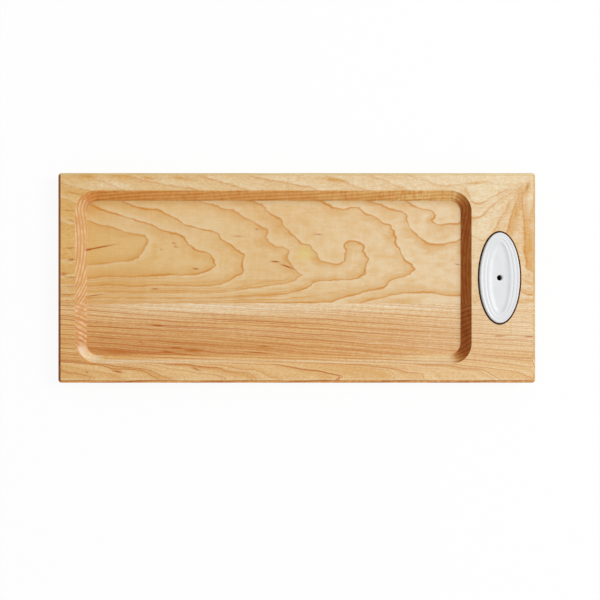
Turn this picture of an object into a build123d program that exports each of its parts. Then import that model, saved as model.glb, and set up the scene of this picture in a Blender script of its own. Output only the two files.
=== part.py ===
from build123d import *

import os

# A maple bread board. Two staves are glued edge to edge, a tray is routed into the panel, and an oval ceramic
# dish drops into a pocket at one end. The dish has a hole for the peg of a table ornament and lifts out to be
# washed. Lengths are in millimetres: +X runs along the board to the dish, +Y to the rear edge, +Z up, and the
# origin is the middle of the underside.

# Panel
board_length = 457.0
rear_stave_width = 125.0
front_stave_width = 76.0
board_thickness = 20.0
upright_corner_radius = 3.2
top_chamfer = 2.9
bottom_chamfer = 1.2

# Tray, measured at its rim on the top face
tray_left_margin = 16.7
tray_rear_margin = 17.1
tray_front_margin = 17.9
tray_pocket_land = 6.2
tray_depth = 9.5
tray_wall_run = 8.7
tray_corner_radius = 20.0
tray_floor_fillet = 1.0
rim_ease = 0.5

# Oval dish: three bands step down from its rim to a shallow bowl
dish_length = 86.6
dish_width = 38.5
dish_height = 7.5
dish_proud = 2.3
dish_edge_radius = 1.5
dish_foot_radius = 0.8
outer_band_width = 3.2
middle_band_width = 3.6
inner_band_width = 2.2
band_step = 0.3
band_edge_radius = 0.2
bowl_slope_run = 3.4
bowl_floor_thickness = 5.6
bowl_floor_fillet = 3.0
peg_hole_radius = 2.5
peg_hole_lip = 1.0

# Pads under the dish, placed as shares of the dish's half width and half length
pad_radius = 3.0
pad_thickness = 1.0
pad_side_share = 0.45
pad_end_share = 0.55

# Pocket for the dish, and the drilling in its floor that clears the end of the peg
dish_gap = 1.3
pocket_end_land = 14.2
peg_relief_gap = 2.5
peg_relief_depth = 8.0

# A fillet takes no more than this share of the step that it rounds
fillet_limit_share = 0.8
overrun = 2.0

board_width = rear_stave_width + front_stave_width
glue_line_y = board_width / 2 - rear_stave_width
pocket_width = dish_width + 2 * dish_gap
pocket_depth = dish_height + pad_thickness - dish_proud
pocket_x = board_length / 2 - pocket_end_land - pocket_width / 2
pocket_floor_z = board_thickness - pocket_depth
dish_bottom_z = pocket_floor_z + pad_thickness
dish_top_z = dish_bottom_z + dish_height


def oval_outline(inset, z):
    """An oval about the dish's axis, inset all round from the dish's outer edge."""
    return Pos(pocket_x, 0, z) * Ellipse(dish_width / 2 - inset, dish_length / 2 - inset)


def oval_block(inset, bottom, top):
    """An upright block on such an oval."""
    return extrude(oval_outline(inset, bottom), top - bottom)


def opening_edges(faces):
    """The edges round the openings in these faces."""
    return [edge for face in faces for wire in face.inner_wires() for edge in wire.edges()]


def make_blank():
    """The glued-up panel, planed, with eased corners and arrises."""
    outline = RectangleRounded(board_length, board_width, upright_corner_radius)
    blank = extrude(outline, board_thickness)
    blank = chamfer(blank.faces().sort_by(Axis.Z)[-1].edges(), top_chamfer)
    return chamfer(blank.faces().sort_by(Axis.Z)[0].edges(), bottom_chamfer)


def make_tray_cutter():
    """The hollow of the tray: sloping walls with conical corners down to a flat floor."""
    left = -board_length / 2 + tray_left_margin
    right = pocket_x - pocket_width / 2 - tray_pocket_land
    front = -board_width / 2 + tray_front_margin
    rear = board_width / 2 - tray_rear_margin
    sections = []
    for drop, run in ((tray_depth, tray_wall_run), (0, 0)):
        outline = RectangleRounded(right - left - 2 * run, rear - front - 2 * run, tray_corner_radius - run)
        centre = Pos((left + right) / 2, (front + rear) / 2, board_thickness - drop)
        sections.append(centre * outline)
    cutter = loft(sections, ruled=True)
    return fillet(cutter.faces().sort_by(Axis.Z)[0].edges(), tray_floor_fillet)


def make_panel():
    """The blank with its tray, the dish's pocket and the drilling under the peg hole."""
    pocket = oval_block(-dish_gap, pocket_floor_z, board_thickness + overrun)
    relief = extrude(Circle(peg_hole_radius + peg_relief_gap), peg_relief_depth + overrun)
    relief = Pos(pocket_x, 0, pocket_floor_z - peg_relief_depth) * relief
    panel = make_blank() - make_tray_cutter() - pocket - relief
    top_face = panel.faces().filter_by(Axis.Z).sort_by(Axis.Z)[-1]
    return fillet(opening_edges([top_face]), rim_ease)


def make_staves():
    """The two staves that the panel is glued up from, parted at the glue line."""
    glue_plane = Plane.XZ.offset(-glue_line_y)
    panel = make_panel()
    rear = split(panel, bisect_by=glue_plane, keep=Keep.BOTTOM)
    front = split(panel, bisect_by=glue_plane, keep=Keep.TOP)
    return rear, front


def make_dish():
    """The ceramic dish: bands that step down to a bowl, with a lipped peg hole through its floor."""
    step_radius = min(band_edge_radius, band_step * fillet_limit_share)
    middle_inset = outer_band_width
    inner_inset = middle_inset + middle_band_width
    bowl_inset = inner_inset + inner_band_width
    middle_z = dish_top_z - band_step
    inner_z = middle_z - band_step
    floor_z = dish_bottom_z + bowl_floor_thickness
    dish = oval_block(0, dish_bottom_z, dish_top_z)
    dish = fillet(dish.faces().sort_by(Axis.Z)[-1].edges(), dish_edge_radius)
    dish = fillet(dish.faces().sort_by(Axis.Z)[0].edges(), dish_foot_radius)
    dish -= oval_block(middle_inset, middle_z, dish_top_z + overrun)
    dish -= oval_block(inner_inset, inner_z, middle_z + overrun)
    bowl_mouth = oval_outline(bowl_inset, inner_z)
    bowl_floor = oval_outline(bowl_inset + bowl_slope_run, floor_z)
    bowl = loft([bowl_floor, bowl_mouth], ruled=True)
    dish -= fillet(bowl.faces().sort_by(Axis.Z)[0].edges(), bowl_floor_fillet)
    bands = dish.faces().filter_by(Axis.Z).filter_by_position(Axis.Z, inner_z, dish_top_z)
    dish = fillet(opening_edges(bands), step_radius)
    peg_hole = extrude(Circle(peg_hole_radius), dish_height + 2 * overrun)
    dish -= Pos(pocket_x, 0, dish_bottom_z - overrun) * peg_hole
    floor = dish.faces().filter_by(Axis.Z).filter_by_position(Axis.Z, floor_z, floor_z)
    return fillet(opening_edges(floor), peg_hole_lip)


def make_pads():
    """Four soft pads stuck under the dish, which stand on the floor of the pocket."""
    pads = []
    for side in (-pad_side_share, pad_side_share):
        for end in (-pad_end_share, pad_end_share):
            place = Pos(pocket_x + side * dish_width / 2, end * dish_length / 2, pocket_floor_z)
            pads.append(place * extrude(Circle(pad_radius), pad_thickness))
    return Compound(children=pads)


os.makedirs("parts", exist_ok=True)
rear_stave, front_stave = make_staves()
pieces = {
    "rear_stave": rear_stave,
    "front_stave": front_stave,
    "ceramic_dish": make_dish(),
    "dish_pads": make_pads(),
}
for name, piece in pieces.items():
    export_step(piece, f"parts/{name}.step")
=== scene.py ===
import functools
import math

import bmesh
import bpy
from bpy.props import FloatProperty, FloatVectorProperty, IntProperty, PointerProperty
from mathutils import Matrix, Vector


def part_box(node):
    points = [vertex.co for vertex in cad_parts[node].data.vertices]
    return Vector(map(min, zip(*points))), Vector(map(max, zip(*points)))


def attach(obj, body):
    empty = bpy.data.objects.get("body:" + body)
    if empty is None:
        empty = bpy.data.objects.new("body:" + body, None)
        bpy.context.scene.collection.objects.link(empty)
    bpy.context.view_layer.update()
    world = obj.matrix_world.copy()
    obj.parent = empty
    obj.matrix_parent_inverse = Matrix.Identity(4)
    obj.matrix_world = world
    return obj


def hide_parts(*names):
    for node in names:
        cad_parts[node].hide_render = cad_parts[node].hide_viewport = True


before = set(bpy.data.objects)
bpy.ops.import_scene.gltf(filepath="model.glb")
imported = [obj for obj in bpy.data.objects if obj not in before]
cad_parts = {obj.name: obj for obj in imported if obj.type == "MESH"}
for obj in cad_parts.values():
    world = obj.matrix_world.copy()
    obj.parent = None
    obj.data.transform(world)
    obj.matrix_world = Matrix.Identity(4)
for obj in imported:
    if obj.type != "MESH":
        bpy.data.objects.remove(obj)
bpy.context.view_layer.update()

bl_info = {
    "name": "Bread board",
    "version": (1, 0, 0),
    "blender": (4, 5, 0),
    "location": "View3D > Sidebar > Bread board",
    "description": "Dresses a maple bread board with an oval ceramic dish and sets up its studio",
    "category": "Object",
}

MM = 0.001
# Heights over the underside (mm): the tray's floor, half way up its walls, and its rim
TRAY_FLOOR_Z = 10.5
WALL_Z = 15
RIM_Z = 20
# The glue line, where the staves meet, and the tray's rear edge (mm along Y)
GLUE_LINE_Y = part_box("rear_stave")[0].y / MM
REAR_EDGE_Y = 74

# The rear stave is flat-sawn, so its growth rings come up through the tray floor as arches. Rings are counted
# along lines that run the length of the board, and each line is given as (mm along X, value).
REAR_LINES = {
    # rings counted along the tray's rear edge
    "rear_edge": [
        (-230, 1.4), (-200, 2), (-162, 3), (-94, 4), (-44, 5), (25, 6),
        (70, 7), (107, 8), (134, 8.6), (158, 9), (167, 9.8), (180, 10), (230, 10),
    ],
    # rings counted along the tips of the arches
    "tips": [
        (-230, 0.3), (-203, 0.4), (-177, 0.6), (-144, 1), (-80, 2), (-52, 3),
        (4, 4), (66, 5), (113, 6), (143, 6.5), (172, 6.6), (230, 6.5),
    ],
    # rings counted along the glue line
    "glue_line": [
        (-230, 6), (-147, 6), (-54, 6.2), (3, 6.05), (40, 6.2), (61, 7),
        (100, 7.85), (155, 7.2), (230, 7.2),
    ],
    # where across the board the tips lie, in mm along Y
    "tip_place": [(-230, 34), (-152, 34), (-94, 20), (-52, 10), (3, 4), (113, 9), (230, 9)],
    # how the rings crowd towards the rear edge and towards the glue line: 1 is evenly spaced
    "rear_bend": [
        (-230, 1.7), (-60, 1.6), (-30, 1.4), (0, 0.75), (20, 0.75), (35, 1.4), (60, 3.2),
        (90, 2.8), (105, 1.6), (120, 1.1), (140, 1.2), (160, 1.7), (230, 1.6),
    ],
    "front_bend": [
        (-230, 2.2), (-190, 2.2), (-145, 2.6), (-60, 2.4), (-30, 2), (0, 1.3),
        (40, 1.1), (60, 1.7), (100, 1.5), (230, 1.6),
    ],
}
# The edges that rings are counted to from the tips: where they lie (mm along Y), and how the rings crowd
REAR_EDGES = {
    "rear_edge": (REAR_EDGE_Y, "rear_bend"),
    "glue_line": (GLUE_LINE_Y, "front_bend"),
}

# Local swells that bend the arches: place (mm along X and Y), reach (mm) and height in rings
REAR_SWELLS = [
    ((-203, -3), (25, 6), -0.15), ((-193, 68), (16, 8), 0.2), ((-170, 59), (25, 10), 0.2),
    ((-152, 68), (14, 8), 0.33), ((-150, 28), (6, 6), 0.05), ((-144, 42), (9, 5), -0.14),
    ((-140, 53), (20, 8), 0.28), ((-128, 44), (10, 7), 0.22), ((-122, 60), (20, 9), 0.35),
    ((-108, 51), (9, 6), 0.2), ((-105, 31), (20, 10), 0.3), ((-95, 49), (24, 12), 0.5),
    ((-95, 23), (6, 5), 0.12), ((-79, 23), (5, 4), -0.09), ((-72, 37), (10, 7), 0.17),
    ((-61, 67), (8, 6), -0.2), ((-54, 25), (5, 5), -0.1), ((-46, 55), (18, 12), -0.3),
    ((-30, 47), (9, 8), -0.25), ((-28, 60), (12, 8), 0.2), ((-14, 26), (14, 12), -0.25),
    ((-11, -2), (12, 6), -0.3), ((-8, 29), (8, 9), -0.34), ((-4, 42), (12, 10), 0.22),
    ((-4, 13), (6, 6), -0.15), ((4, 34), (6, 5), 0.12), ((20, -5), (18, 6), 0.33),
    ((36, 22), (13, 13), 0.65), ((54, 37), (7, 5), 0.1), ((55.5, 21), (7, 11), -0.42),
    ((60, 68), (9, 5), -0.27), ((65, 26), (5, 6), 0.1), ((84, -9), (12, 6), -0.18),
    ((93, 50), (6, 6), -0.2), ((98, 29), (8, 12), 0.15), ((102, 61), (8, 7), -0.38),
    ((103, 17), (6, 7), 0.1), ((127, 62), (7, 6), -0.25), ((131, 55), (5, 4), 0.13),
    ((140, 52), (10, 7), 0.2), ((143, 31), (14, 8), -0.15), ((154, 53), (7, 5), 0.18),
    ((158, 39), (5, 5), -0.17),
]

# Rings fan out from a knot near the rear corner at the dish's end. The fan gives the ring by the angle below
# the board's length, in degrees.
KNOT = (214.8, 90.3)
KNOT_FAN = [
    (-180, 10.5), (0, 10.4), (24, 9.65), (37.5, 8.65), (59.5, 7.65), (74, 6.65), (85, 6.2), (93, 5.65),
    (180, 5.3),
]
# How many more rings the fan passes on its way to the glue line
KNOT_SPREAD = 1.6

# The front stave is rift-sawn: the heart of its tree lay along the board at this Y and Z (mm)
HEART_AXIS = (-97, 46)
# Its lines cross one more ring in this many mm along X
FRONT_TAPER = 80

# Ring lines: half width (mm), the most that this takes of the gap between rings, and the weakest line's share
REAR_LINE = (1.45, 0.2, 0.7)
REAR_FINE_LINE = (0.6, 0.4, 0)
FRONT_LINE = (0.9, 0.45, 0.55)
FRONT_FINE_LINE = (0.55, 0.45, 0.1)
# Fine lines for each ring
FINE_LINES = 2.7
# The height of a ring in the bump that measures the gaps between rings, and the limits of a gap (mm)
RING_BUMP = 10
GAP_LIMITS = (0.5, 60)
# The most level that the bump may lie, so that no gap is endless
MOST_LEVEL = 0.9999

# Sway of the grain: length along it (mm), width across it (mm) and how far it goes each way (mm)
REAR_SWAY = [(26, 14, (1.6, 0.5, 0)), (11, 8, (2, 0.45, 0)), (4.5, 3, (0.9, 0.3, 0))]
KNOT_SWAY = [(14, 10, (1.3, 1, 0)), (6, 5, (0.5, 0.4, 0))]
FRONT_SWAY = [(150, 24, (0, 0.9, 0)), (40, 9, (0, 0.3, 0.2)), (24, 7, (0, 0.1, 0.5))]

# How far flecks and patches reach up and down (mm)
FLECK_DEPTH = 2.5
# Mineral streaks and pith flecks at each height: middle (mm along X and Y), half length and half width (mm),
# tilt (degrees) and strength
REAR_FLECKS = {
    TRAY_FLOOR_Z: [
        ((-192, 29.4), 13, 0.7, 11, 1.35), ((-201, 27.6), 4.5, 0.9, 12, 1.5),
        ((-196, -16.8), 9, 0.6, 8, 0.9), ((-97.6, 8.9), 2.6, 0.8, -8, 1.05),
        ((-38.4, 47.2), 1.6, 0.6, -10, 0.9), ((-20.7, 15.9), 3.8, 0.7, -4, 1.35),
        ((-9.5, 11.2), 5.5, 0.8, -20, 1.35), ((-56.9, 40.4), 5.5, 0.8, -4, 0.5),
        ((21, 42.2), 4, 0.7, -3, 0.75), ((-137, -10.5), 3.6, 0.7, 2, 0.9),
        ((-118.7, 33.7), 2, 0.7, -15, 0.75), ((-117, 30.1), 1.7, 0.7, -15, 0.75),
        ((-131, 27.6), 1.5, 0.9, -30, 0.45), ((155.2, 13.2), 2.8, 0.7, -12, 0.75),
    ],
    RIM_Z: [
        ((220.3, 86.4), 4, 1.3, 75, 0.6), ((-211, 80.4), 7, 0.6, -9, 0.6),
        ((-217.6, 64.4), 6, 0.6, -5, 0.6), ((-215.6, 54.8), 3.5, 0.6, -20, 0.7),
        ((-216.2, 28.5), 4, 0.7, 5, 0.8), ((-215.1, 17.2), 3.6, 1, 3, 0.95),
        ((-222.5, 3.6), 2.8, 1.5, 0, 0.7), ((-215.1, 0.4), 4.5, 0.7, 0, 0.8),
        ((-216, -8), 6, 0.6, 0, 0.65), ((-219, -16), 7, 0.6, 0, 0.65),
    ],
}
# A spot of yellow sap stain
YELLOW_SPOTS = {TRAY_FLOOR_Z: [((7.6, 23.3), 7, 7, 0, 0.55)]}
# Pale patches by the tray's rear corners and along its rear edge
PALE_PATCHES = {
    RIM_Z: [
        ((181, 77), 20, 13, 0, 0.9), ((176, 46), 9, 24, 0, 0.75),
        ((-178, 88), 22, 3.5, -4, 0.6),
    ],
    TRAY_FLOOR_Z: [
        ((-160, 56), 26, 9, -8, 0.35), ((-95, 52), 32, 14, 0, 0.3),
        ((120, 60), 30, 12, 0, 0.2),
    ],
}
# Gold patches on the rims, round the knot, along the rear edge and in the tray
GOLD_PATCHES = {
    RIM_Z: [
        ((208, 58), 24, 4, 74, 1), ((221, 33), 27, 6, 95, 1),
        ((223.5, 58), 14, 2, 80, 0.8), ((220.5, -4), 7, 1.3, -28, 1),
        ((222, -21.5), 6, 1.2, 0, 0.9), ((203, 78), 14, 2, 35, 0.25),
        ((213, 84.5), 7, 3, 25, 0.5), ((219.6, 86), 7, 3.2, 70, 1),
        ((206, 45), 8, 4, 60, 0.9), ((199, 66), 8, 3, 60, 0.4),
        ((221.5, 2), 4, 5, 0, 0.5), ((-200, 97), 10, 1.8, -4, 1.3),
        ((-168, 97), 12, 1.8, -3, 1.3), ((-142, 95.5), 9, 1.6, -8, 1),
        ((-110, 95), 10, 1.4, -8, 1), ((35, 93.5), 13, 1.8, -6, 1.1),
        ((-20, 92), 12, 1.3, -10, 0.3), ((95, 95), 14, 1.3, -8, 0.4),
        ((171, 90.5), 12, 1.2, 4, 0.9),
    ],
    TRAY_FLOOR_Z: [
        ((-199, 69), 10, 7, 40, 0.9), ((-172, -2), 36, 16, 0, 0.5),
        ((-26, 8), 30, 18, 0, 0.25), ((-22, 52), 30, 14, 0, 0.15),
    ],
}
# Flecks of the front stave
FRONT_FLECKS = {
    TRAY_FLOOR_Z: [
        ((-134.1, -45.8), 6.5, 0.7, -2, 1.35), ((-116.1, -67.5), 6, 0.8, -4, 1.35),
        ((-124.9, -71.2), 7, 0.7, -4, 1.05), ((-100.1, -70), 10, 1.6, -3, 0.9),
        ((-150.7, -61.9), 2, 0.7, -20, 0.75), ((-38, -72), 11, 0.6, -4, 1.05),
        ((-31.7, -66), 6, 0.6, -4, 0.9), ((-186.5, -57.4), 10, 0.8, -5, 0.6),
        ((-172.8, -71.5), 17, 2, -4, 0.7),
    ],
    WALL_Z: [((-206.7, -59.7), 3, 2, 30, 0.5)],
    RIM_Z: [
        ((-171, -89.6), 5, 0.9, -10, 1.05), ((-200.3, -90.2), 1.6, 0.8, -10, 0.9),
        ((-96.5, -87.1), 4, 0.8, -20, 0.9), ((193.9, -55.6), 6, 0.5, 0, 0.9),
        ((222, -56.4), 5, 0.6, 0, 1.05),
    ],
}

# How much of a change of shade goes to red, green and blue
SHADE_WEIGHTS = (0.4, 1, 1.9)
# Tints on faces that cross or turn from the grain, as shares of red, green and blue, partly oil soaked into
# end grain and partly painted shade and painted light by how the face turns to the lamp: first at the far
# end, then at the dish's end
REAR_TINTS_AND_PAINTED_LIGHT = {
    "left": ((0.44, 0.175, 0.058), (0.506, 0.202, 0.062)),
    "right": ((0.8, 0.65, 0.46), (0.79, 0.68, 0.42)),
    "front": ((0.97, 0.65, 0.355), (1.09, 0.95, 0.64)),
    "rear": ((1, 1.06, 0.97), (1, 1.06, 0.97)),
}
FRONT_TINTS_AND_PAINTED_LIGHT = {
    "left": ((0.45, 0.18, 0.06), (0.476, 0.2, 0.063)),
    "right": ((0.8, 0.65, 0.5), (0.79, 0.68, 0.42)),
    "front": ((1.04, 0.76, 0.43), (0.94, 0.69, 0.41)),
    "rear": ((1.07, 1.09, 0.94), (1.09, 1.25, 1.41)),
}
# Painted shade in the dish's pocket and on its lip
POCKET_SHADE_TINT = (0.22, 0.11, 0.06)
# How far a face's normal leans where it starts to count as turned, and where it counts in full
TURN_START = 0.15
TURN_END = 0.68
# The same for faces that turn to the far end, where the painted shade of the two staves differs
REAR_LEFT_TURN = (-0.16, -0.86)
FRONT_LEFT_TURN = (0, -0.76)
# How much of the rings' dark bands shows on faces that turn to the front
FRONT_BANDS = 0.45

# Noise patterns in the wood: length along the grain (mm), width across it (mm) and detail. Real pores are a
# tenth of the size given, and are drawn as coarse as they need to show.
NOISES = {
    "fibres": (30, 0.7, 3),
    "ripple": (3.5, 22, 1),
    "pores": (1.8, 0.9, 1),
    "curl": (4, 7, 1),
    "rays": (3, 8, 1),
    "rear_swell": (18, 9, 1),
    "late_patches": (34, 12, 1),
    "clouds": (11, 6, 2),
    "gold_streaks": (4, 14, 1),
    "glue_streaks": (70, 1.3, 1),
    "rear_grit": (3.4, 1.4, 1),
    "front_swell": (90, 3, 1),
    "line_streaks": (160, 2, 1),
    "bundles": (170, 1, 1),
    "front_grit": (2.6, 1.1, 1),
}
# How strongly a pattern shades the wood
DEPTHS = {
    "fibres": 0.04, "ripple": 0.025, "pores": 0.035, "rays": 0.25, "glue_streaks": 0.1,
    "rear_grit": 0.11, "bundles": 0.15, "front_grit": 0.12,
}
# Noise lies about this middle, and keeps to a third of its range round it
NOISE_MIDDLE = 0.5
NOISE_GAIN = 3

# Spans: a value that goes from the first number to the second gives the third to the fourth
SPANS = {
    # by noise
    "shade": (0.3, 0.7, 0, 1),
    "line_width": (0.3, 0.7, 0.6, 1.4),
    "line_fading": (0.3, 0.6, 0.7, 1),
    "curl": (0.35, 0.65, 0.35, 0.95),
    "late_patches": (0.3, 0.7, 0.3, 0.9),
    "clouds": (0.42, 0.78, 0, 0.6),
    "gold_streaks": (0.35, 0.6, 0.65, 1),
    "bands": (0.3, 0.7, 0, 0.6),
    "line_streaks": (0.35, 0.65, 0.6, 1.1),
    "gloss": (0.25, 0.75, -0.06, 0.06),
    "glaze_tone": (0.25, 0.75, 0.975, 1.015),
    "glaze_gloss": (0.3, 0.7, 0.26, 0.36),
    "dust_tone": (0.3, 0.7, 0.93, 1.03),
    "dust_gloss": (0.3, 0.7, 0.45, 0.6),
    # by mm along the board
    "rim_crowding": (145, 172, 0.07, 0.02),
    "near_knot": (158, 192, 0, 1),
    "seam_corner": (-194, -182, 1, 0),
    # by mm past a ring line, mm before one, and mm between two
    "early": (0, 7, 0.36, 0),
    "late": (0, 16, 1, 0),
    "spaced_lines": (3, 12, 0.55, 1),
    "crowded_lines": (4, 11, 0.55, 0),
    # by the wave of the rings on end grain
    "painted_glints": (-0.9, 0.9, 0, 1),
    "dark_bands": (-1, 1, 1.12, 0.82),
    # by shares of the dish's half width and length
    "pocket_wall": (1.05, 1.075, 1, 0),
    "pocket_lip": (1.085, 1.12, 1, 0),
    # by the lean of the face's normal
    "seam_facing": (0.02, 0.2, 0, 1),
    "painted_slope_shade": (0.03, 0.4, 1, 0.86),
    # by how pale the wood is
    "faint_lines": (0, 0.9, 1, 0.4),
}
# Shares of the wood by place (mm) along the board (x), across it (y) and up (z). A span has four numbers, as
# above, and a smooth curve has points.
REAR_SHARES = {
    "x": {
        "paleness": (-220, 200, 0, 1),
        "far_end": (-220, -130, 0.6, 0),
        "rim_paleness": (-220, 200, 0.25, 1),
        "left_rim": (-212, -205, 0.5, 1),
        "off_dish": (-10, 50, 1, 0.2),
        # how much of a ring line shows on the rims, where the lines lie nearly flat and blur
        "rim_blur": [
            (-230, 0.55), (40, 0.55), (90, 0.35), (158, 0.3), (170, 0.68), (190, 0.75), (230, 0.75),
        ],
    },
    "y": {
        "rear_rim": (82, 86, 0, 0.6),
        # painted shade along the foot of the rear wall
        "foot": (68.5, 74.5, 1, 0.86),
        "by_glue": (6, -5, 0, 0.85),
    },
    "z": {
        "on_rim": (17, 20, 0, 1),
        "above_floor": (11, 12.5, 0, 1),
    },
}
FRONT_SHARES = {
    "x": {
        "far_end": (-225, -120, 0.6, 0),
        "off_end": (-215, -110, 0.25, 1),
        "near_dish": (20, 210, 0, 0.85),
        # how the redder wood of the heart side and the pale seam with its painted light fade towards the dish
        "heart_fade": [
            (-230, 0.74), (-140, 0.72), (-75, 0.6), (15, 0.38), (107, 0.28), (190, 0.16), (230, 0.12),
        ],
        "seam_fade": [(-230, 1), (-185, 1), (-130, 0.68), (-16, 0.28), (100, 0.28), (230, 0.2)],
    },
    "y": {
        "by_glue": (-44, -28, 0, 0.95),
        "off_front": (-45, -85, 1, 0.4),
        "heart_side": (-34, -68, 0, 1),
        # a painted highlight along the front edge
        "painted_edge_highlight": (-95.6, -96.6, 0, 0.45),
    },
    "z": {
        "heart_level": (10.7, 12, 1, 0.15),
        # the pale seam and painted light in the tray's front wall, there and in the corner at the far end
        "seam": [(10.6, 0), (14.5, 0.1), (15.8, 0.55), (17, 1), (18.2, 1), (19.4, 0.35), (20, 0.1)],
        "corner_seam_and_light": [(10.6, 0), (11.6, 0.75), (15, 0.85), (16.4, 1), (17.6, 1), (18.8, 0.1), (20, 0)],
    },
}
OIL_SHARES = {
    "x": {
        "to_dish": (-200, 200, 0, 1),
        "bars": (0, 120, 0.5, 1),
    },
    "z": {
        "in_pocket": (19.5, 20, 1, 0),
        "above_underside": (2, 4, 0, 1),
    },
}
# Late wood deepens slowly at first: the power that its share is raised to
LATE_BEND = 1.6
# Bands of tone for each ring of the front stave
BANDS = 0.4

# Finishes: how high their pattern stands (mm), how much of it shows, and what else the shader gets
OILED = (0.05, 0.4, {"IOR": 1.47, "Specular IOR Level": 0.15})
GLAZED = (0.06, 0.3, {"IOR": 1.5, "Specular IOR Level": 0.3})
MOULDED = (0.03, 0.3, {"IOR": 1.41, "Transmission Weight": 0.35})
# Sizes of the swells and specks in the glaze and of the dust on the silicone (mm)
GLAZE_SWELL = 9
GLAZE_SPECK = 1.2
DUST = 0.4

# The dish's outline from its foot over the rim to the peg hole: (mm in from its edge, mm below its rim)
DISH_OUTER = [
    (1.7, 7.5), (0.9, 7.5), (0.2, 7.2), (0, 6.3), (0, 2.4), (0, 0.9), (0.4, 0.2),
    (1.2, 0), (2, 0.04), (2.7, 0.3), (3.4, 0.36), (4.1, 0.24), (4.8, 0.2), (5.5, 0.24),
    (6.2, 0.5), (6.9, 0.56), (7.6, 0.44), (8.3, 0.4), (9, 0.47), (9.9, 0.8), (11, 1.16),
    (12.4, 1.39), (14, 1.45), (14.9, 1.45),
]
# The rest of it, round the peg hole: (mm from the hole's axis, mm below the rim)
DISH_HOLE = [
    (3.9, 1.45), (3.3, 1.5), (2.75, 1.75), (2.5, 2.4), (2.5, 5.4), (2.5, 7), (2.7, 7.45), (3.6, 7.5),
]
# Levels of subdivision
DISH_SMOOTHING = 2
# The pads: sides of each disc, how much of their thickness the rounded rim takes, and its steps
PAD_SIDES = 32
PAD_ROUNDING = 0.7
PAD_STEPS = 5

# The setting that holds a node's mode
MODES = {
    "Math": "operation", "VectorMath": "operation", "Mix": "data_type", "MapRange": "interpolation_type",
    "Mapping": "vector_type", "TexNoise": "noise_dimensions", "TexWhiteNoise": "noise_dimensions",
}


def linear(code):
    """A hex colour in sRGB as linear red, green and blue."""
    shares = [int(code[place:place + 2], 16) / 255 for place in (0, 2, 4)]
    return tuple(s / 12.92 if s <= 0.04045 else ((s + 0.055) / 1.055) ** 2.4 for s in shares)


def colour_setting(name, description, code):
    """A colour that a user can change, given as a hex value in sRGB."""
    return FloatVectorProperty(
        name=name, description=description, subtype="COLOR", min=0, max=1, default=linear(code))


def length_setting(name, description, default, low, high):
    """A length in metres that a user can change."""
    return FloatProperty(name=name, description=description, subtype="DISTANCE", unit="LENGTH",
                         default=default, min=low, max=high)


def add_node(tree, kind, *values, named=None):
    """Add a node, and fill or link its sockets in order, then by name.

    A word before the values sets the node's mode.
    """
    node = tree.nodes.new("ShaderNode" + kind)
    if values and isinstance(values[0], str):
        mode, *values = values
        setattr(node, MODES[kind], mode)
    pairs = list(zip([socket for socket in node.inputs if socket.enabled], values))
    pairs += [(node.inputs[key], value) for key, value in (named or {}).items()]
    for socket, value in pairs:
        if isinstance(value, bpy.types.Node):
            value = next(output for output in value.outputs if output.enabled)
        if isinstance(value, bpy.types.NodeSocket):
            tree.links.new(value, socket)
        else:
            socket.default_value = value
    return node


class MapleSettings(bpy.types.PropertyGroup):
    """Colours and sizes of the two maple staves."""

    pale: colour_setting("Pale wood", "Early wood at the dish's end of the board", "E9D2AE")
    honey: colour_setting("Honey wood", "Early wood at the other end of the board", "E0B674")
    gold: colour_setting("Gold wood", "Cloudy patches in the early wood", "DDAE68")
    fresh: colour_setting("Fresh wood", "The start of each year's growth, just outside a ring line", "EAD5B0")
    yellow: colour_setting("Yellow wood", "A spot of yellow sap stain in the tray", "E1CD78")
    late: colour_setting("Late wood", "The end of each year's growth, a little darker", "D6A35E")
    ring_line: colour_setting("Ring line", "The thin line that ends each year's growth", "CE8732")
    fleck: colour_setting("Fleck", "Mineral streaks and pith flecks", "B5641A")
    rift: colour_setting("Rift wood", "Early wood of the front stave", "E4BB84")
    rift_pale: colour_setting("Pale rift wood", "Early wood of the front stave along the glue line", "E9CEA6")
    rift_line: colour_setting("Rift line", "Ring lines of the front stave", "B4580C")
    # Partly pale wood and partly painted light in the tray's front wall
    seam: colour_setting("Seam", "A pale seam of sapwood in the tray's front wall", "E5CFB4")
    heart: colour_setting("Heart wood", "The redder wood near the heart side of the front stave", "C4864A")
    # A painted glint on the ring lines of end grain that faces the lamp
    painted_glint: colour_setting("End glint", "Ring lines on end grain that faces the lamp, which shine", "E2BF96")
    ring_rise: FloatProperty(
        name="Ring rise", description="Height in mm in which the rear stave has one ring",
        default=2.6, min=0.5, max=10)
    rift_ring: FloatProperty(
        name="Rift ring", description="Width in mm of one ring of the front stave",
        default=4.0, min=0.5, max=20)
    roughness: FloatProperty(
        name="Roughness", description="Sheen of the oiled wood", subtype="FACTOR", default=0.48, min=0, max=1)


class DishSettings(bpy.types.PropertyGroup):
    """Colours and sizes of the dish and its pads."""

    glaze: colour_setting("Glaze", "Colour of the white glaze", "E2E4E6")
    silicone: colour_setting("Silicone", "Colour of the pads", "DADAD6")
    sides: IntProperty(name="Sides", description="Straight sides of the oval before smoothing", default=64,
                       min=16, max=256)
    pad_radius: length_setting("Pad radius", "Radius of each pad", 3.0 * MM, 0.5 * MM, 10 * MM)


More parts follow.
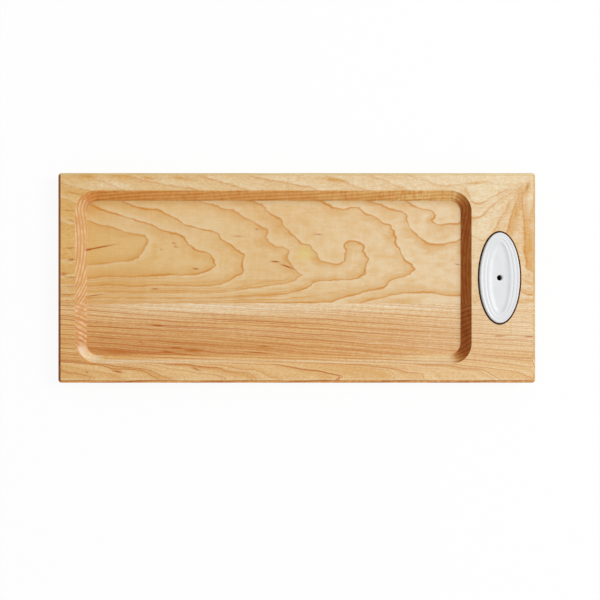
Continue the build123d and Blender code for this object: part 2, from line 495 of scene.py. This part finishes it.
class StageSettings(bpy.types.PropertyGroup):
    """The camera, lamps and floor."""

    lens: FloatProperty(name="Lens", description="Focal length in mm", default=50, min=10, max=300)
    camera_place: FloatVectorProperty(
        name="Camera", description="Where the camera hangs, looking straight down", subtype="TRANSLATION",
        unit="LENGTH", default=(0.0031, -0.0212, 0.816))
    key_power: FloatProperty(
        name="Key lamp", description="Power of the key lamp in watts", default=97, min=0, max=2000)
    key_azimuth: FloatProperty(
        name="Key azimuth", description="From +X towards +Y", subtype="ANGLE", unit="ROTATION",
        default=math.radians(14))
    key_elevation: FloatProperty(
        name="Key elevation", description="Above the horizon", subtype="ANGLE", unit="ROTATION",
        default=math.radians(45))
    key_distance: length_setting("Key distance", "From the board to the lamp", 4.0, 0.5, 20)
    key_size: length_setting("Key size", "Side of the square lamp", 1.5, 0.05, 10)
    ambient: FloatProperty(
        name="Ambient", description="Soft light from all round", default=0.55, min=0, max=2)
    floor_white: colour_setting("Floor", "Colour of the paper floor", "F7F7F7")
    floor_size: length_setting("Floor size", "Side of the floor", 12.0, 1, 100)
    floor_gap: length_setting("Floor gap", "How far the floor lies under the board", 0.1 * MM, 0, 10 * MM)
    floor_shadow: FloatProperty(
        name="Floor shadow", description="How much of the object's shadow shows on the white floor",
        subtype="FACTOR", default=0.08, min=0, max=1)


def start_nodes(owner):
    """Empty the nodes of a material or world, and give the function that adds a node to it."""
    owner.use_nodes = True
    owner.node_tree.nodes.clear()
    return functools.partial(add_node, owner.node_tree)


def start_material(name):
    """An empty material, the function that adds its nodes, and the place on the object in mm."""
    material = bpy.data.materials.new(name)
    add = start_nodes(material)
    spot = add("TexCoord")
    place = add("VectorMath", "SCALE", spot.outputs["Object"], 1 / MM)
    return material, add, place


def finish_material(add, colour, gloss, pattern, finish):
    """End a material with its shader and the fine relief of its pattern."""
    height, share, optics = finish
    relief = add("Bump", named={"Strength": share, "Distance": height * MM, "Height": pattern})
    shader = add("BsdfPrincipled", named={
        "Base Color": colour, "Roughness": gloss, "Normal": relief, **optics})
    add("OutputMaterial", shader)


def face_normal(add):
    """X, Y and Z of the surface's normal."""
    geometry = add("NewGeometry")
    return add("SeparateXYZ", geometry.outputs["Normal"]).outputs


def lay_woods(add, colour, layers):
    """Lay woods over each other, each by its share."""
    for share, wood in layers:
        colour = add("Mix", "RGBA", share, colour, (*wood, 1))
    return colour


def read_curve(add, points, along):
    """A value read from a smooth curve through given points."""
    node = add("FloatCurve", 1.0, along)
    mapping = node.mapping
    mapping.use_clip = False
    curve = mapping.curves[0]
    for point, spot in zip(curve.points, points):
        point.location = spot
    for spot in points[len(curve.points):]:
        curve.points.new(*spot)
    for point in curve.points:
        point.handle_type = "AUTO_CLAMPED"
    mapping.update()
    return node


def read_shares(add, place, shares):
    """Shares of the wood at this place, from a table of spans and curves."""
    axes = dict(zip("xyz", add("SeparateXYZ", place).outputs))
    here = {}
    for axis, group in shares.items():
        for name, share in group.items():
            if isinstance(share, list):
                here[name] = read_curve(add, share, axes[axis])
            else:
                here[name] = add("MapRange", axes[axis], *share)
    return here


def bell(add, offset, height):
    """A soft bump of this height, which falls off with the offset, given in shares of its reach."""
    far = add("VectorMath", "DOT_PRODUCT", offset, offset)
    fade = add("Math", "POWER", math.e, far)
    return add("Math", "DIVIDE", height, fade)


def count_rear_rings(add, place, maple):
    """Ring count of the flat-sawn rear stave."""
    swayed = sway(add, place, REAR_SWAY)
    x, y, _ = add("SeparateXYZ", swayed).outputs
    lines = {name: read_curve(add, points, x) for name, points in REAR_LINES.items()}
    rings = lines["tips"]
    shares = {}
    for edge, (edge_y, bend) in REAR_EDGES.items():
        gone = add("Math", "SUBTRACT", y, lines["tip_place"])
        room = add("Math", "SUBTRACT", edge_y, lines["tip_place"])
        share = add("Math", "DIVIDE", gone, room)
        share = add("Clamp", share)
        shares[edge] = add("Math", "POWER", share, lines[bend])
        step = add("Math", "SUBTRACT", lines[edge], lines["tips"])
        rings = add("Math", "MULTIPLY_ADD", step, shares[edge], rings)
    # More rings are passed on the rear rim, fewer of them near the knot
    past = add("Math", "SUBTRACT", y, REAR_EDGE_Y)
    past = add("Math", "MAXIMUM", past, 0.0)
    crowding = add("MapRange", x, *SPANS["rim_crowding"])
    rings = add("Math", "MULTIPLY_ADD", past, crowding, rings)
    flat = add("VectorMath", "MULTIPLY", swayed, (1, 1, 0))
    for centre, reach, height in REAR_SWELLS:
        offset = add("VectorMath", "SUBTRACT", flat, (*centre, 0))
        offset = add("VectorMath", "DIVIDE", offset, (*reach, 1))
        rings = add("Math", "ADD", rings, bell(add, offset, height))
    x, y, z = add("SeparateXYZ", sway(add, place, KNOT_SWAY)).outputs
    run = add("Math", "SUBTRACT", KNOT[0], x)
    rise = add("Math", "SUBTRACT", KNOT[1], y)
    turn = add("Math", "ARCTAN2", rise, run)
    turn = add("Math", "DEGREES", turn)
    fan = read_curve(add, KNOT_FAN, turn)
    fan = add("Math", "MULTIPLY_ADD", shares["glue_line"], KNOT_SPREAD, fan)
    near_knot = add("MapRange", "SMOOTHSTEP", x, *SPANS["near_knot"])
    rings = add("Mix", "FLOAT", near_knot, rings, fan)
    lift = add("Math", "SUBTRACT", z, TRAY_FLOOR_Z)
    return add("Math", "MULTIPLY_ADD", lift, -1 / maple.ring_rise, rings)


def count_front_rings(add, place, maple):
    """Ring count of the rift-sawn front stave, whose heart lay above its front edge."""
    heart = add("VectorMath", "SUBTRACT", place, (0, *HEART_AXIS))
    across = add("VectorMath", "MULTIPLY", heart, (0, 1, 1))
    radius = add("VectorMath", "LENGTH", across)
    along = add("SeparateXYZ", place)
    taper = add("Math", "MULTIPLY", along.outputs["X"], 1 / FRONT_TAPER)
    return add("Math", "MULTIPLY_ADD", radius, 1 / maple.rift_ring, taper)


def stretch_noise(add, place, length, width, detail):
    """Noise drawn out along the grain: its length and width are in mm."""
    spread = add("VectorMath", "MULTIPLY", place, (1 / length, 1 / width, 1 / width))
    return add("TexNoise", spread, named={"Scale": 1.0, "Detail": detail})


def share_noise(add, place, name):
    """One of the noise patterns in the wood as a share, which its span gives."""
    noise = stretch_noise(add, place, *NOISES[name])
    return add("MapRange", noise, *SPANS[name])


def vary(add, colour, place, name):
    """Let a noise pattern shade the wood: darker wood is also redder, since blue goes first."""
    noise = stretch_noise(add, place, *NOISES[name])
    share = add("MapRange", noise, *SPANS["shade"])
    dark = [1 - DEPTHS[name] * each for each in SHADE_WEIGHTS]
    light = [1 + DEPTHS[name] * each for each in SHADE_WEIGHTS]
    tint = add("Mix", "RGBA", share, (*dark, 1), (*light, 1))
    return add("VectorMath", "MULTIPLY", colour, tint)


def sway(add, place, swings):
    """Shift each place a little, so that the grain wanders as it does in a living tree."""
    for length, width, reach in swings:
        noise = stretch_noise(add, place, length, width, 0.0)
        shift = add("VectorMath", "SUBTRACT", noise.outputs["Color"], (NOISE_MIDDLE,) * 3)
        reach = tuple(NOISE_GAIN * each for each in reach)
        place = add("VectorMath", "MULTIPLY_ADD", shift, reach, place)
    return place


def space_rings(add, rings):
    """How many mm apart the rings show on this face, read from the slope of a bump made of them."""
    slope = add("Bump", named={"Strength": 1.0, "Distance": RING_BUMP * MM, "Height": rings})
    facing = add("NewGeometry")
    level = add("VectorMath", "DOT_PRODUCT", slope, facing.outputs["Normal"])
    level = add("Math", "MINIMUM", level, MOST_LEVEL)
    angle = add("Math", "ARCCOSINE", level)
    steepness = add("Math", "TANGENT", angle)
    gap = add("Math", "DIVIDE", RING_BUMP, steepness)
    return add("Clamp", gap, *GAP_LIMITS)


def draw_lines(add, swell, rings, gap, width, crowded, weakest):
    """The thin line that ends each year: 1 on the line, 0 off it, narrower where the rings crowd.

    Swell is a noise that lets it come and go along its length.
    """
    off = add("Math", "PINGPONG", rings, 1 / 2)
    off = add("Math", "MULTIPLY", off, gap)
    half = add("Math", "MULTIPLY", gap, crowded)
    half = add("Math", "MINIMUM", half, width)
    spread = add("MapRange", swell, *SPANS["line_width"])
    half = add("Math", "MULTIPLY", half, spread)
    line = add("MapRange", "SMOOTHSTEP", off, 0.0, half, 1.0, 0.0)
    year = add("Math", "ROUND", rings)
    chance = add("TexWhiteNoise", "1D", year)
    strength = add("MapRange", chance.outputs["Value"], 0.0, 1.0, weakest, 1.0)
    fading = add("MapRange", swell, *SPANS["line_fading"])
    strength = add("Math", "MULTIPLY", strength, fading)
    return add("Math", "MULTIPLY", line, strength)


def draw_fine_lines(add, swell, rings, gap, shape):
    """The finer lines between the rings."""
    rings = add("Math", "MULTIPLY", rings, FINE_LINES)
    gap = add("Math", "MULTIPLY", gap, 1 / FINE_LINES)
    return draw_lines(add, swell, rings, gap, *shape)


def mark_flecks(add, place, flecks):
    """Each fleck as a soft dash at its own place."""
    total = None
    for level, marks in flecks.items():
        for spot, length, width, tilt, strength in marks:
            local = add("Mapping", "TEXTURE", place, (*spot, level), (0, 0, math.radians(tilt)),
                        (length, width, FLECK_DEPTH))
            mark = bell(add, local, strength)
            total = mark if total is None else add("Math", "MAXIMUM", total, mark)
    return total


def face_shares(add, left_turn):
    """How far the surface faces -X, +X, -Y and +Y, each from 0 to 1."""
    x, y, _ = face_normal(add)
    turns = {
        "left": (x, *left_turn),
        "right": (x, TURN_START, TURN_END),
        "front": (y, -TURN_START, -TURN_END),
        "rear": (y, TURN_START, TURN_END),
    }
    return {name: add("MapRange", "SMOOTHSTEP", *turn, 0, 1)
            for name, turn in turns.items()}


def wave_end_grain(add, place, here, colour, rings, turned, maple):
    """Rings as waves on turned faces: painted glints where these face the lamp, dark bands of grain where
    they turn away.
    """
    wave = add("Math", "MULTIPLY", rings, 2 * math.pi)
    wave = add("Math", "COSINE", wave)
    painted_shine = add("MapRange", wave, *SPANS["painted_glints"])
    painted_shine = add("Math", "MULTIPLY", painted_shine, share_noise(add, place, "curl"))
    painted_shine = add("Math", "MULTIPLY", painted_shine, turned["right"])
    colour = add("Mix", "RGBA", painted_shine, colour, (*maple.painted_glint, 1))
    dark = add("MapRange", wave, *SPANS["dark_bands"])
    banded = add("VectorMath", "SCALE", colour, dark)
    away = add("Math", "MULTIPLY_ADD", turned["front"], FRONT_BANDS, turned["left"])
    colour = add("Mix", "RGBA", away, colour, banded)
    # Rays show as short bars on the walls that turn from the lamp, most of all by the dish
    barred = vary(add, colour, place, "rays")
    away = add("Math", "MAXIMUM", turned["front"], turned["left"])
    away = add("Math", "MULTIPLY", away, here["bars"])
    return add("Mix", "RGBA", away, colour, barred)


def shade_pocket(add, place, here, colour, turned):
    """Painted shade on the wall of the dish's pocket, and on its lip where this faces the lamp, where the
    dish's shadow falls.
    """
    low, high = (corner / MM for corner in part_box("ceramic_dish"))
    middle = (low + high) / 2
    spread = (high - low) / 2
    inside = add("Mapping", "TEXTURE", place, (middle.x, middle.y, 0), (0, 0, 0), (spread.x, spread.y, 1))
    inside = add("VectorMath", "MULTIPLY", inside, (1, 1, 0))
    inside = add("VectorMath", "LENGTH", inside)
    wall = add("MapRange", inside, *SPANS["pocket_wall"])
    wall = add("Math", "MULTIPLY", wall, here["in_pocket"])
    lip = add("MapRange", inside, *SPANS["pocket_lip"])
    to_lamp = add("Math", "MAXIMUM", turned["right"], turned["rear"])
    lip = add("Math", "MULTIPLY", lip, to_lamp)
    pocket_shade = add("Math", "MAXIMUM", wall, lip)
    # Not on the underside, which lies under the pocket
    pocket_shade = add("Math", "MULTIPLY", pocket_shade, here["above_underside"])
    pocket_shaded = add("VectorMath", "MULTIPLY", colour, POCKET_SHADE_TINT)
    return add("Mix", "RGBA", pocket_shade, colour, pocket_shaded)


def oil_maple(add, place, colour, rings, turned, flecks, tints_and_light, maple):
    """Flecks, fibres, painted shade and light on turned faces, and the oiled sheen that both staves share;
    ends the material.
    """
    here = read_shares(add, place, OIL_SHARES)
    colour = add("Mix", "RGBA", mark_flecks(add, place, flecks), colour, (*maple.fleck, 1))
    for name in ("fibres", "ripple", "pores"):
        colour = vary(add, colour, place, name)
    for side, (far_tint, dish_tint) in tints_and_light.items():
        tint = add("Mix", "RGBA", here["to_dish"], (*far_tint, 1), (*dish_tint, 1))
        # A face that is part turned takes that power of the tint, which is partly oil soaked into end grain
        # and partly painted shade and light
        soaked_and_shaded = add("Gamma", tint, turned[side])
        colour = add("VectorMath", "MULTIPLY", colour, soaked_and_shaded)
    colour = wave_end_grain(add, place, here, colour, rings, turned, maple)
    colour = shade_pocket(add, place, here, colour, turned)
    fibres = stretch_noise(add, place, *NOISES["fibres"])
    gloss = add("MapRange", fibres, *SPANS["gloss"])
    gloss = add("Math", "ADD", gloss, maple.roughness)
    finish_material(add, colour, gloss, fibres, OILED)


def make_rear_maple(maple):
    """Flat-sawn maple: broad arches of thin brown lines on honey to cream wood, with a satin oil sheen."""
    material, add, place = start_material("maple_flat_sawn_oiled")
    here = read_shares(add, place, REAR_SHARES)
    rings = count_rear_rings(add, place, maple)
    gap = space_rings(add, rings)
    swell = stretch_noise(add, place, *NOISES["rear_swell"])
    line = draw_lines(add, swell, rings, gap, *REAR_LINE)
    # Each year starts pale just outside a line and deepens to gold before the next one
    part = add("Math", "FRACT", rings)
    after = add("Math", "MULTIPLY", part, gap)
    early = add("MapRange", "SMOOTHSTEP", after, *SPANS["early"])
    before = add("Math", "SUBTRACT", gap, after)
    late = add("MapRange", before, *SPANS["late"])
    late = add("Math", "POWER", late, LATE_BEND)
    late = add("Math", "MULTIPLY", late, share_noise(add, place, "late_patches"))
    clouds = add("Math", "MAXIMUM", share_noise(add, place, "clouds"), here["far_end"])
    # Pale wood lies along the rear rim and in patches, and gold streaks round the knot at the dish's end
    rear_rim = add("Math", "MULTIPLY", here["rear_rim"], here["rim_paleness"])
    cream = mark_flecks(add, place, PALE_PATCHES)
    gold = mark_flecks(add, place, GOLD_PATCHES)
    gold = add("Math", "MULTIPLY", gold, share_noise(add, place, "gold_streaks"))
    # Lines blur on the rims and weaken where they crowd
    blur = add("Math", "MULTIPLY", here["rim_blur"], here["left_rim"])
    blur = add("Mix", "FLOAT", here["on_rim"], 1.0, blur)
    line = add("Math", "MULTIPLY", line, blur)
    spaced = add("MapRange", gap, *SPANS["spaced_lines"])
    line = add("Math", "MULTIPLY", line, spaced)
    # Fine lines show where rings crowd, and most along the glue line away from the dish, with streaks between
    fine = draw_fine_lines(add, swell, rings, gap, REAR_FINE_LINE)
    crowded = add("MapRange", gap, *SPANS["crowded_lines"])
    by_glue = add("Math", "MULTIPLY", here["by_glue"], here["off_dish"])
    crowded = add("Math", "MAXIMUM", crowded, by_glue)
    fine = add("Math", "MULTIPLY", fine, crowded)
    line = add("Math", "MAXIMUM", line, fine)
    # The woods lie over each other, the ring lines last
    colour = add("Mix", "RGBA", here["paleness"], (*maple.honey, 1), (*maple.pale, 1))
    colour = lay_woods(add, colour, (
        (clouds, maple.gold), (late, maple.late), (early, maple.fresh), (rear_rim, maple.fresh),
        (cream, maple.fresh), (gold, maple.late), (line, maple.ring_line)))
    streaked = vary(add, colour, place, "glue_streaks")
    colour = add("Mix", "RGBA", by_glue, colour, streaked)
    # Painted shade at the foot of the rear wall
    foot = add("Mix", "FLOAT", here["above_floor"], here["foot"], 1.0)
    colour = add("VectorMath", "SCALE", colour, foot)
    gritty = vary(add, colour, place, "rear_grit")
    colour = add("Mix", "RGBA", here["on_rim"], colour, gritty)
    spot = mark_flecks(add, place, YELLOW_SPOTS)
    colour = add("Mix", "RGBA", spot, colour, (*maple.yellow, 1))
    turned = face_shares(add, REAR_LEFT_TURN)
    oil_maple(add, place, colour, rings, turned, REAR_FLECKS, REAR_TINTS_AND_PAINTED_LIGHT, maple)
    return material


def make_front_maple(maple):
    """Rift-sawn maple: straight close lines, redder towards the heart side, with a satin oil sheen."""
    material, add, place = start_material("maple_rift_sawn_oiled")
    here = read_shares(add, place, FRONT_SHARES)
    rings = count_front_rings(add, sway(add, place, FRONT_SWAY), maple)
    gap = space_rings(add, rings)
    # The place along the grain and across the rings, so that streaks follow the lines
    x, _, _ = add("SeparateXYZ", place).outputs
    depth = add("Math", "MULTIPLY", rings, maple.rift_ring)
    grain = add("CombineXYZ", x, depth)
    swell = stretch_noise(add, grain, *NOISES["front_swell"])
    line = draw_lines(add, swell, rings, gap, *FRONT_LINE)
    fine = draw_fine_lines(add, swell, rings, gap, FRONT_FINE_LINE)
    # Broad bands of tone, a few rings wide
    bands = add("TexNoise", "1D", rings, named={"Scale": BANDS, "Detail": 1.0})
    bands = add("MapRange", bands, *SPANS["bands"])
    bands = add("Math", "MAXIMUM", bands, here["far_end"])
    # Paler wood lies along the glue line and towards the dish
    by_glue = add("Math", "MULTIPLY", here["by_glue"], here["off_end"])
    near_dish = add("Math", "MULTIPLY", here["near_dish"], here["off_front"])
    pale = add("Math", "MAXIMUM", by_glue, near_dish)
    # The heart side is a redder band at the level of the tray floor, which fades towards the dish
    heart = add("Math", "MULTIPLY", here["heart_side"], here["heart_fade"])
    heart = add("Math", "MULTIPLY", heart, here["heart_level"])
    # A pale seam, partly pale wood and partly painted light, shows under the rim of the tray's front wall and
    # fills the corner at the far end
    seam = add("Math", "MULTIPLY", here["seam"], here["seam_fade"])
    corner = add("MapRange", "SMOOTHSTEP", x, *SPANS["seam_corner"])
    seam = add("Mix", "FLOAT", corner, seam, here["corner_seam_and_light"])
    # The seam's painted light shows only where the face turns to the rear
    _, normal_y, _ = face_normal(add)
    seam_facing = add("MapRange", normal_y, *SPANS["seam_facing"])
    seam = add("Math", "MULTIPLY", seam, seam_facing)
    # The dark end grain and painted shade of the corner by the dish cover it
    turned = face_shares(add, FRONT_LEFT_TURN)
    uncovered = add("Math", "SUBTRACT", 1.0, turned["left"])
    seam = add("Math", "MULTIPLY", seam, uncovered)
    turned["rear"] = add("Math", "MULTIPLY", turned["rear"], uncovered)
    seamless = add("Math", "SUBTRACT", 1.0, seam)
    turned["right"] = add("Math", "MULTIPLY", turned["right"], seamless)
    # The woods lie over each other, and a painted highlight runs along the front edge
    colour = add("Mix", "RGBA", bands, (*maple.rift, 1), (*maple.gold, 1))
    colour = lay_woods(add, colour, (
        (pale, maple.rift_pale), (heart, maple.heart), (seam, maple.seam),
        (here["painted_edge_highlight"], maple.rift_pale)))
    # Lines come and go in long streaks, faint in the pale wood, and bundles of fibres show light and dark
    # between them
    line = add("Math", "MAXIMUM", line, fine)
    line = add("Math", "MULTIPLY", line, share_noise(add, grain, "line_streaks"))
    pale = add("Math", "MAXIMUM", pale, seam)
    faint = add("MapRange", pale, *SPANS["faint_lines"])
    line = add("Math", "MULTIPLY", line, faint)
    colour = vary(add, colour, grain, "bundles")
    colour = vary(add, colour, place, "front_grit")
    colour = add("Mix", "RGBA", line, colour, (*maple.rift_line, 1))
    oil_maple(add, place, colour, rings, turned, FRONT_FLECKS, FRONT_TINTS_AND_PAINTED_LIGHT, maple)
    return material


def make_glaze(dish):
    """Glazed stoneware: an even cool white with a soft gloss and the faint unevenness of a dipped glaze."""
    material, add, place = start_material("stoneware_white_glazed")
    swells = add("TexNoise", place, named={"Scale": 1 / GLAZE_SWELL, "Detail": 2.0})
    specks = add("TexNoise", place, named={"Scale": 1 / GLAZE_SPECK, "Detail": 1.0})
    tone = add("MapRange", swells, *SPANS["glaze_tone"])
    # Painted shade on slopes that face the dish's end of the board, where the lamp lights them most
    normal_x, _, _ = face_normal(add)
    slope_shade = add("MapRange", normal_x, *SPANS["painted_slope_shade"])
    tone = add("Math", "MULTIPLY", tone, slope_shade)
    colour = add("VectorMath", "SCALE", tuple(dish.glaze), tone)
    gloss = add("MapRange", specks, *SPANS["glaze_gloss"])
    finish_material(add, colour, gloss, swells, GLAZED)
    return material


def make_silicone(dish):
    """Moulded clear silicone: milky, matt, with a little light going through it."""
    material, add, place = start_material("silicone_moulded_milky")
    dust = add("TexNoise", place, named={"Scale": 1 / DUST, "Detail": 2.0})
    tone = add("MapRange", dust, *SPANS["dust_tone"])
    colour = add("VectorMath", "SCALE", tuple(dish.silicone), tone)
    gloss = add("MapRange", dust, *SPANS["dust_gloss"])
    finish_material(add, colour, gloss, dust, MOULDED)
    return material


def keep_piece(mesh, name, material, body, node):
    """Turn a bmesh into a smooth piece that stands for a CAD node and rides on its body."""
    data = bpy.data.meshes.new(name)
    bmesh.ops.recalc_face_normals(mesh, faces=mesh.faces)
    mesh.to_mesh(data)
    mesh.free()
    data.shade_smooth()
    data.materials.append(material)
    piece = bpy.data.objects.new(name, data)
    bpy.context.scene.collection.objects.link(piece)
    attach(piece, body)
    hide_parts(node)
    return piece


class BREADBOARD_OT_staves(bpy.types.Operator):
    """Give both staves their maple"""

    bl_idname = "breadboard.staves"
    bl_label = "Dress staves"

    def execute(self, context):
        maple = context.scene.breadboard_maple
        materials = {"rear_stave": make_rear_maple(maple), "front_stave": make_front_maple(maple)}
        for name, material in materials.items():
            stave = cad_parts[name]
            stave.data.materials.clear()
            stave.data.materials.append(material)
        return {"FINISHED"}


class BREADBOARD_OT_dish(bpy.types.Operator):
    """Model the glazed dish with its three beads, bowl and peg hole"""

    bl_idname = "breadboard.dish"
    bl_label = "Model dish"

    def execute(self, context):
        settings = context.scene.breadboard_dish
        low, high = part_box("ceramic_dish")
        middle = (low + high) / 2
        half = (high - low) / 2
        loops = [(half.x - inset * MM, half.y - inset * MM, drop) for inset, drop in DISH_OUTER]
        loops += [(radius * MM, radius * MM, drop) for radius, drop in DISH_HOLE]
        mesh = bmesh.new()
        bmesh.ops.create_circle(mesh, segments=settings.sides, radius=1.0)
        first = list(mesh.edges)
        loop = first
        wide, long, depth = 1.0, 1.0, 0.0
        for number, (new_wide, new_long, drop) in enumerate(loops):
            if number:
                grown = bmesh.ops.extrude_edge_only(mesh, edges=loop)["geom"]
                ends = [item for item in grown if isinstance(item, bmesh.types.BMVert)]
                loop = [item for item in grown if isinstance(item, bmesh.types.BMEdge)
                        and all(end in ends for end in item.verts)]
            else:
                ends = list(mesh.verts)
            bmesh.ops.scale(mesh, vec=(new_wide / wide, new_long / long, 1), verts=ends)
            bmesh.ops.translate(mesh, vec=(0, 0, (depth - drop) * MM), verts=ends)
            wide, long, depth = new_wide, new_long, drop
        bmesh.ops.bridge_loops(mesh, edges=first + loop)
        bmesh.ops.translate(mesh, vec=(middle.x, middle.y, high.z), verts=mesh.verts)
        glaze = make_glaze(settings)
        dish = keep_piece(mesh, "glazed_dish", glaze, "dish", "ceramic_dish")
        smooth = dish.modifiers.new("Smooth", "SUBSURF")
        smooth.levels = DISH_SMOOTHING
        smooth.render_levels = DISH_SMOOTHING
        return {"FINISHED"}


class BREADBOARD_OT_pads(bpy.types.Operator):
    """Model the four silicone pads under the dish"""

    bl_idname = "breadboard.pads"
    bl_label = "Model pads"

    def execute(self, context):
        settings = context.scene.breadboard_dish
        low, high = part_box("dish_pads")
        radius = settings.pad_radius
        thickness = high.z - low.z
        mesh = bmesh.new()
        for x in (low.x + radius, high.x - radius):
            for y in (low.y + radius, high.y - radius):
                disc = bmesh.ops.create_circle(
                    mesh, cap_ends=True, segments=PAD_SIDES, radius=radius)["verts"]
                bmesh.ops.translate(mesh, vec=(x, y, high.z), verts=disc)
                face = disc[0].link_faces[0]
                grown = bmesh.ops.extrude_face_region(mesh, geom=[face], use_keep_orig=True)["geom"]
                under = [item for item in grown if isinstance(item, bmesh.types.BMVert)]
                bmesh.ops.translate(mesh, vec=(0, 0, -thickness), verts=under)
                rim = [item for item in grown if isinstance(item, bmesh.types.BMEdge)]
                bmesh.ops.bevel(mesh, geom=rim, offset=PAD_ROUNDING * thickness, segments=PAD_STEPS,
                                profile=0.5, affect="EDGES", material=-1)
        silicone = make_silicone(settings)
        pads = keep_piece(mesh, "silicone_pads", silicone, "dish", "dish_pads")
        edges = pads.modifiers.new("Edges", "WEIGHTED_NORMAL")
        edges.keep_sharp = True
        return {"FINISHED"}


class BREADBOARD_OT_stage(bpy.types.Operator):
    """Set the camera over the board, with a soft lamp, dim light all round and a white paper floor"""

    bl_idname = "breadboard.stage"
    bl_label = "Set stage"

    def execute(self, context):
        scene = context.scene
        stage = scene.breadboard_stage
        camera = bpy.data.objects.new("camera", bpy.data.cameras.new("camera"))
        camera.data.lens = stage.lens
        camera.location = stage.camera_place
        scene.collection.objects.link(camera)
        scene.camera = camera
        scene.view_settings.view_transform = "Standard"

        lamp = bpy.data.objects.new("key_lamp", bpy.data.lights.new("key_lamp", "AREA"))
        lamp.data.energy = stage.key_power
        lamp.data.size = stage.key_size
        level = math.cos(stage.key_elevation)
        towards = Vector((level * math.cos(stage.key_azimuth), level * math.sin(stage.key_azimuth),
                          math.sin(stage.key_elevation)))
        lamp.location = towards * stage.key_distance
        lamp.rotation_euler = towards.to_track_quat("Z", "Y").to_euler()
        scene.collection.objects.link(lamp)

        world = bpy.data.worlds.new("studio")
        add = start_nodes(world)
        seen = self.add_seen(add)
        strength = add("MapRange", seen, 0.0, 1.0, stage.ambient, 1.0)
        light = add("Background", (1, 1, 1, 1), strength)
        add("OutputWorld", light)
        scene.world = world

        mesh = bmesh.new()
        bmesh.ops.create_grid(mesh, x_segments=1, y_segments=1, size=stage.floor_size / 2)
        # A hair under the board, so that the two never share a plane
        bmesh.ops.translate(mesh, vec=(0, 0, -stage.floor_gap), verts=mesh.verts)
        data = bpy.data.meshes.new("floor")
        mesh.to_mesh(data)
        mesh.free()
        data.materials.append(self.make_paper(stage))
        floor = bpy.data.objects.new("floor", data)
        # Dim light reaches the underside too, for looking at the board from below
        floor.visible_diffuse = False
        scene.collection.objects.link(floor)
        return {"FINISHED"}

    def add_seen(self, add):
        """1 for a ray that the camera sees, also in a gloss or through glass, 0 for one that gives light."""
        path = add("LightPath")
        seen = path.outputs["Is Camera Ray"]
        for ray in ("Is Glossy Ray", "Is Transmission Ray"):
            seen = add("Math", "MAXIMUM", seen, path.outputs[ray])
        return seen

    def make_paper(self, stage):
        """Matt white paper: an even white to the eye that keeps a faint shadow."""
        material = bpy.data.materials.new("paper_matt_white")
        add = start_nodes(material)
        seen = self.add_seen(add)
        share = add("MapRange", seen, 0.0, 1.0, 0.0, 1 - stage.floor_shadow)
        paper = add("BsdfDiffuse", (*stage.floor_white, 1))
        white = add("Emission", (1, 1, 1, 1), 1.0)
        upper = add("MixShader", share, paper, white)
        # Seen from below, the paper is left out, so that the underside of the board can be looked at
        clear = add("BsdfTransparent")
        facing = add("NewGeometry")
        both = add("MixShader", facing.outputs["Backfacing"], upper, clear)
        add("OutputMaterial", both)
        return material


class BREADBOARD_PT_panel(bpy.types.Panel):
    """Lists the board's operators and settings"""

    bl_idname = "BREADBOARD_PT_panel"
    bl_label = "Bread board"
    bl_space_type = "VIEW_3D"
    bl_region_type = "UI"
    bl_category = "Bread board"

    def draw(self, context):
        for operator in OPERATORS:
            self.layout.operator(operator.bl_idname)
        for name in SETTINGS:
            group = getattr(context.scene, name)
            box = self.layout.box()
            for key in group.bl_rna.properties.keys():
                if key not in ("rna_type", "name"):
                    box.prop(group, key)


SETTINGS = {
    "breadboard_maple": MapleSettings,
    "breadboard_dish": DishSettings,
    "breadboard_stage": StageSettings,
}
OPERATORS = (BREADBOARD_OT_staves, BREADBOARD_OT_dish, BREADBOARD_OT_pads, BREADBOARD_OT_stage)
CLASSES = (*SETTINGS.values(), *OPERATORS, BREADBOARD_PT_panel)


def register():
    for cls in CLASSES:
        bpy.utils.register_class(cls)
    for name, cls in SETTINGS.items():
        setattr(bpy.types.Scene, name, PointerProperty(type=cls))


def unregister():
    for name in SETTINGS:
        delattr(bpy.types.Scene, name)
    for cls in reversed(CLASSES):
        bpy.utils.unregister_class(cls)


def main():
    register()
    bpy.ops.breadboard.staves()
    bpy.ops.breadboard.dish()
    bpy.ops.breadboard.pads()
    bpy.ops.breadboard.stage()


if __name__ == "__main__":
    main()
